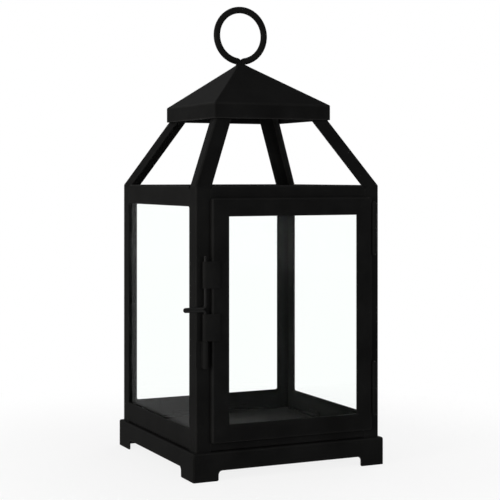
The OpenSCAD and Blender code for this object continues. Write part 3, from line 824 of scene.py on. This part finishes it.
def post_roll(hole, outside, stand, reach, low, x, y, flip, roll_highlight=0.0):
    """A strip whose flap lies on the corner angle: it steps forward, then goes anticlockwise round
    (x, y) from the back for 248 degrees. stand is how far behind (x, y) the angle's face is."""
    radius = outside - ROLL_SHEET / 2
    a = np.radians(np.linspace(104, 352, 24))
    roll = radius * np.stack([np.cos(a), np.sin(a)], -1)
    flap = bent([(reach, stand - 0.4), (1.9, stand - 0.4), (0.45, radius + 0.02), (-0.28, radius - 0.02)],
                [1, 1.0, 0.8, 1])
    section = strip_outline(np.vstack([flap[:-1], roll]), min(ROLL_SHEET, 2 * (radius - hole)))
    return placed_roll(section, low, x, y, flip, roll_highlight)


def placed_roll(section, low, x, y, flip, roll_highlight):
    """A rolled section as an upright strip from low up, its flap to the right, or to the left where
    flip is -1. On the roll itself it gets the painted highlight given."""
    painted_highlight = np.where(np.hypot(*section.T) < ROLL_SPAN, roll_highlight, 0)
    points, faces, painted_light = eased_bar(section, low, low + ROLL_TALL, 0.15, painted_highlight)
    return points * (flip, 1, 1) + (x, y, 0), faces, painted_light


for hinge in ("upper", "lower"):
    low, high = extent(f"hinge_{hinge}_pin")
    x, y = (low[0] + high[0]) / 2, (low[1] + high[1]) / 2
    make(f"hinge_{hinge}_flap_on_door",
         door_roll(PIN_HOLE, HINGE_FLAP, extent(f"hinge_{hinge}_door_leaf")[0][2], x, y,
                   on_edge=True),
         black_sheet, body="door", stands_for=[f"hinge_{hinge}_door_leaf"])
    make(f"hinge_{hinge}_flap_on_post",
         post_roll(PIN, HINGE_OUTSIDE, -FACE - y, HINGE_REACH,
                   extent(f"hinge_{hinge}_post_leaf")[0][2], x, y, 1),
         black_sheet, stands_for=[f"hinge_{hinge}_post_leaf"])
    make(f"hinge_{hinge}_wire", wire_shape([(x, low[2]), (x, high[2])], PIN, y, 0.3), black_wire,
         body="frame", stands_for=[f"hinge_{hinge}_pin"])

# ---------------------------------------------------------------------------------------------
# Latch
# Two strips rolled round the bolt and welded on the door's stile, a third on the left front
# corner angle for it to drop into, and one wire for the bolt, bent out into a hairpin handle.
# ---------------------------------------------------------------------------------------------
BOLT = 0.75
COAT = 0.03          # the coat's thickness on the bolt
ROLL_HIGHLIGHT = 0.3        # the rolls that stand proud get a painted highlight
BOLT_HOLE = 0.83
LATCH_OUTSIDE, CATCH_REACH = 1.63, 5.3
BOLT_BEND = 2.0
HANDLE_GAP = 1.6     # between the middles of the handle's two wires
HAIRPIN = 0.79       # under half of that gap, or the two bends meet in one point
HANDLE_UP = 2.1      # height of the handle over the lower barrel
BRIDGE_HALF = 0.45
# the second colour is the lighter paint of the painted highlights at the wire's ends
slid_wire = coated("black coat worn thin on the bolt", (0.0085, 0.0084, 0.0082),
                   (0.03, 0.0295, 0.029), 0.28, 1400, 0.00001, 0.05)
bolt_x = extent("latch_barrel_lower")[0][0] + LATCH_OUTSIDE
bolt_y = door_front + BOLT_HOLE
latch_flap = [(9.5, -1.23), (0.6, -1.23)]

for barrel in ("upper", "lower"):
    make(f"latch_roll_{barrel}",
         door_roll(BOLT_HOLE, latch_flap, extent(f"latch_barrel_{barrel}")[0][2], bolt_x, bolt_y,
                   roll_highlight=ROLL_HIGHLIGHT),
         black_sheet, body="door", stands_for=[f"latch_barrel_{barrel}"])
make("latch_roll_on_post",
     post_roll(BOLT_HOLE, LATCH_OUTSIDE, -FACE - bolt_y, CATCH_REACH,
               extent("latch_catch")[0][2], bolt_x, bolt_y, -1, ROLL_HIGHLIGHT),
     black_sheet, stands_for=["latch_catch"])


def bolt_shape():
    """A wire up, out along the handle, round a hairpin, back above itself and on up, and the coat
    that bridges the handle's two wires, a flat bar."""
    low, high = extent("latch_bolt")
    handle = extent("latch_barrel_lower")[1][2] + HANDLE_UP
    back = handle + HANDLE_GAP
    tip = low[0] + BOLT
    corners = [(bolt_x, low[2]), (bolt_x, handle), (tip, handle), (tip, back), (bolt_x, back),
               (bolt_x, high[2])]
    path = bent(corners, [1, BOLT_BEND, HAIRPIN, HAIRPIN, BOLT_BEND, 1], 8)
    wire = wire_shape(path, BOLT + COAT, bolt_y, 0.25, 16)
    root = bolt_x - HANDLE_GAP
    bridge = rounded([(tip, handle), (root, handle), (root, back), (tip, back)], 0.2)
    points, faces, painted_light = eased_bar(bridge, bolt_y - BRIDGE_HALF, bolt_y + BRIDGE_HALF)
    return put_together([wire, (points[:, [0, 2, 1]], faces, painted_light)])


make("latch_wire", bolt_shape(), slid_wire, body="bolt", stands_for=["latch_bolt"])

# ---------------------------------------------------------------------------------------------
# Studio
# A white sweep without an edge: the floor near the lantern takes its shadow and fades into the
# white round it. The key lamp stands low on the left, a weaker one in front, a third behind.
# ---------------------------------------------------------------------------------------------


def seen_not_lit(tree):
    """A socket that is 1 where the camera sees a surface, straight, mirrored or through glass, and
    0 where only its light arrives."""
    path_kind = tree.nodes.new("ShaderNodeLightPath")
    total = path_kind.outputs["Is Camera Ray"]
    for kind in ("Is Glossy Ray", "Is Transmission Ray"):
        added = tree.nodes.new("ShaderNodeMath")
        added.operation = "ADD"
        added.use_clamp = True
        tree.links.new(total, added.inputs[0])
        tree.links.new(path_kind.outputs[kind], added.inputs[1])
        total = added.outputs["Value"]
    return total


floor_mesh = bpy.data.meshes.new("floor")
floor_mesh.from_pydata([(-6, -6, 0), (6, -6, 0), (6, 6, 0), (-6, 6, 0)], [], [(0, 1, 2, 3)])
floor = bpy.data.objects.new("floor", floor_mesh)
bpy.context.scene.collection.objects.link(floor)
white_floor = bpy.data.materials.new("white floor")
white_floor.use_nodes = True
nodes, links = white_floor.node_tree.nodes, white_floor.node_tree.links
paper = nodes["Principled BSDF"]
paper.inputs["Base Color"].default_value = (0.9, 0.9, 0.9, 1)
paper.inputs["Roughness"].default_value = 0.9
paper.inputs["Specular IOR Level"].default_value = 0
white = nodes.new("ShaderNodeEmission")
place = nodes.new("ShaderNodeTexCoord")
far = nodes.new("ShaderNodeVectorMath")
far.operation = "LENGTH"
links.new(place.outputs["Object"], far.inputs[0])
fade = nodes.new("ShaderNodeMapRange")
fade.interpolation_type = "SMOOTHSTEP"
fade.inputs["From Min"].default_value = 0.10
fade.inputs["From Max"].default_value = 0.32
fade.inputs["To Min"].default_value = 0.85
links.new(far.outputs["Value"], fade.inputs["Value"])
share = nodes.new("ShaderNodeMath")
share.operation = "MULTIPLY"
links.new(seen_not_lit(white_floor.node_tree), share.inputs[0])
links.new(fade.outputs["Result"], share.inputs[1])
sweep = nodes.new("ShaderNodeMixShader")
links.new(share.outputs["Value"], sweep.inputs["Fac"])
links.new(paper.outputs["BSDF"], sweep.inputs[1])
links.new(white.outputs["Emission"], sweep.inputs[2])
links.new(sweep.outputs["Shader"], nodes["Material Output"].inputs["Surface"])
floor_mesh.materials.append(white_floor)

world = bpy.data.worlds.new("white studio")
bpy.context.scene.world = world
world.use_nodes = True
nodes, links = world.node_tree.nodes, world.node_tree.links
room = nodes["Background"]
room.inputs["Color"].default_value = (1, 1, 1, 1)
level = nodes.new("ShaderNodeMapRange")
links.new(seen_not_lit(world.node_tree), level.inputs["Value"])
way = nodes.new("ShaderNodeTexCoord")
upward = nodes.new("ShaderNodeSeparateXYZ")
links.new(way.outputs["Generated"], upward.inputs["Vector"])
dim_above = nodes.new("ShaderNodeMapRange")
dim_above.inputs["To Min"].default_value = 0.43
dim_above.inputs["To Max"].default_value = 0.22
links.new(upward.outputs["Z"], dim_above.inputs["Value"])
links.new(dim_above.outputs["Result"], level.inputs["To Min"])
links.new(level.outputs["Result"], room.inputs["Strength"])


def soft_lamp(name, spot, width, power, tone):
    """A square lamp at spot, in metres, that faces the middle of the lantern."""
    lamp = bpy.data.objects.new(name, bpy.data.lights.new(name, "AREA"))
    bpy.context.scene.collection.objects.link(lamp)
    lamp.data.size = width
    lamp.data.energy = power
    lamp.data.color = tone
    lamp.location = spot
    towards = np.array((0, 0, 0.14)) - spot
    lamp.rotation_euler = (np.arccos(-towards[2] / np.linalg.norm(towards)), 0,
                           np.arctan2(towards[1], towards[0]) - np.pi / 2)


soft_lamp("key lamp", (-1.7, -0.5, 0.25), 0.8, 31, (1.0, 0.985, 0.96))
soft_lamp("fill lamp", (0.6, -1.7, 0.4), 1.0, 9, (0.97, 0.985, 1.0))
soft_lamp("back lamp", (1.4, 1.2, 0.4), 1.0, 24, (1.0, 1.0, 1.0))

bpy.context.scene.view_settings.view_transform = "Standard"
